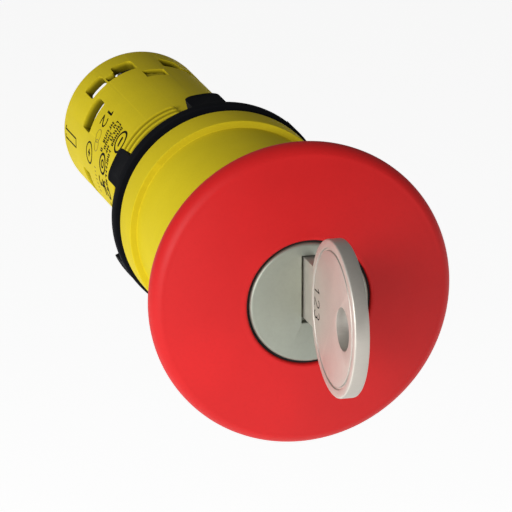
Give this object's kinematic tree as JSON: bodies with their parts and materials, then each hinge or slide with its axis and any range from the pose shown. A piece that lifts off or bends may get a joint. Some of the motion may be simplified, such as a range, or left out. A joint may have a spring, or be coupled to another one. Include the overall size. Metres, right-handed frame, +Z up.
{
  "type": "emergency stop button",
  "caption": "Key-released mushroom-head emergency stop button on a threaded barrel with a lobed fixing nut and screw terminals behind.",
  "frame": {"origin": "on the button axis in the plane of the panel's front face, where the gasket bears on it", "axes": "+Y along the button axis into the panel, towards the terminals; the head faces -Y; +Z up; +X to the right as seen from the front"},
  "size_m": [0.04, 0.1102, 0.04],
  "materials": {
    "head_red": "smooth satin red thermoplastic",
    "shell_yellow": "fine matt yellow polyamide",
    "black_plastic": "matt black polyamide",
    "rubber_black": "soft black rubber",
    "lock_metal": "satin nickel-plated zinc casting",
    "key_metal": "satin nickel-plated key blank",
    "brass": "stamped brass",
    "steel": "zinc-plated steel",
    "white_plastic": "natural white acetal"
  },
  "bodies": {
    "housing": {"bezel_collar": "shell_yellow", "panel_gasket": "rubber_black", "front_bushing": "black_plastic", "latch_housing": "black_plastic", "latch_spring": "steel", "body_shell": "shell_yellow", "contact_block": "black_plastic", "return_spring": "steel", "terminal_plate_1": "brass", "terminal_plate_2": "brass", "terminal_plate_3": "brass", "terminal_plate_4": "brass"},
    "head": {"mushroom_head": "head_red", "head_seal": "rubber_black", "lock_seal_ring": "rubber_black", "lock_barrel": "lock_metal", "push_stem": "white_plastic", "stem_pins": "steel"},
    "lock_core": {"lock_plug": "lock_metal", "wafer_springs": "steel", "plug_clip": "steel", "release_shaft": "steel", "release_cam": "steel", "wafer_1": "brass", "wafer_2": "brass", "wafer_3": "brass", "wafer_4": "brass", "wafer_5": "brass"},
    "key": {"key": "key_metal"},
    "carrier": {"contact_carrier": "white_plastic"},
    "bridges": {"contact_bridge_left": "brass", "contact_bridge_right": "brass", "contact_spring_left": "steel", "contact_spring_right": "steel"},
    "nut_washer": {"lock_washer": "steel"},
    "nut": {"fixing_nut": "black_plastic"},
    "clamp_1": {"clamp_washer_1": "steel"},
    "screw_1": {"terminal_screw_1": "steel"},
    "clamp_2": {"clamp_washer_2": "steel"},
    "screw_2": {"terminal_screw_2": "steel"},
    "clamp_3": {"clamp_washer_3": "steel"},
    "screw_3": {"terminal_screw_3": "steel"},
    "clamp_4": {"clamp_washer_4": "steel"},
    "screw_4": {"terminal_screw_4": "steel"}
  },
  "joints": [
    {"name": "head_press", "type": "slide", "parent": "housing", "child": "head", "axis": [0, 1, 0], "range_m": [0, 0.004], "stiffness_N_per_m": 3000, "springref_m": -0.002, "deforming": ["return_spring", "latch_spring", "contact_spring_left", "contact_spring_right"]},
    {"name": "key_turn", "type": "hinge", "parent": "head", "child": "lock_core", "pos_m": [0, -0.04, 0], "axis": [0, 1, 0], "range_deg": [0, 45], "stiffness_Nm_per_rad": 0.02, "springref_deg": -11.46},
    {"name": "key_withdraw", "type": "slide", "parent": "lock_core", "child": "key", "axis": [0, -1, 0], "range_m": [0, 0.03]},
    {"name": "carrier_travel", "type": "slide", "parent": "housing", "child": "carrier", "axis": [0, 1, 0], "range_m": [0, 0.004]},
    {"name": "bridge_travel", "type": "slide", "parent": "housing", "child": "bridges", "axis": [0, 1, 0], "range_m": [0, 0.003]},
    {"name": "nut_travel", "type": "slide", "parent": "housing", "child": "nut_washer", "axis": [0, 1, 0], "range_m": [0, 0.006]},
    {"name": "nut_turn", "type": "hinge", "parent": "nut_washer", "child": "nut", "pos_m": [0, 0.003, 0], "axis": [0, 1, 0], "range_deg": [0, 1440]},
    {"name": "clamp_1_lift", "type": "slide", "parent": "housing", "child": "clamp_1", "axis": [-1, 0, 0], "range_m": [0, 0.00135]},
    {"name": "screw_1_turn", "type": "hinge", "parent": "clamp_1", "child": "screw_1", "pos_m": [-0.0045, 0.0332, 0.0044], "axis": [-1, 0, 0], "range_deg": [0, 1080]},
    {"name": "clamp_2_lift", "type": "slide", "parent": "housing", "child": "clamp_2", "axis": [-1, 0, 0], "range_m": [0, 0.00135]},
    {"name": "screw_2_turn", "type": "hinge", "parent": "clamp_2", "child": "screw_2", "pos_m": [-0.0045, 0.0332, -0.0044], "axis": [-1, 0, 0], "range_deg": [0, 1080]},
    {"name": "clamp_3_lift", "type": "slide", "parent": "housing", "child": "clamp_3", "axis": [1, 0, 0], "range_m": [0, 0.00135]},
    {"name": "screw_3_turn", "type": "hinge", "parent": "clamp_3", "child": "screw_3", "pos_m": [0.0045, 0.0332, 0.0044], "axis": [1, 0, 0], "range_deg": [0, 1080]},
    {"name": "clamp_4_lift", "type": "slide", "parent": "housing", "child": "clamp_4", "axis": [1, 0, 0], "range_m": [0, 0.00135]},
    {"name": "screw_4_turn", "type": "hinge", "parent": "clamp_4", "child": "screw_4", "pos_m": [0.0045, 0.0332, -0.0044], "axis": [1, 0, 0], "range_deg": [0, 1080]}
  ],
  "couplings": [
    {"joint": "carrier_travel", "follows": "head_press", "ratio": 1},
    {"joint": "bridge_travel", "follows": "head_press", "ratio": 0.75},
    {"joint": "nut_turn", "follows": "nut_travel", "rad_per_m": 4188.8},
    {"joint": "screw_1_turn", "follows": "clamp_1_lift", "rad_per_m": 13963},
    {"joint": "screw_2_turn", "follows": "clamp_2_lift", "rad_per_m": 13963},
    {"joint": "screw_3_turn", "follows": "clamp_3_lift", "rad_per_m": 13963},
    {"joint": "screw_4_turn", "follows": "clamp_4_lift", "rad_per_m": 13963}
  ]
}
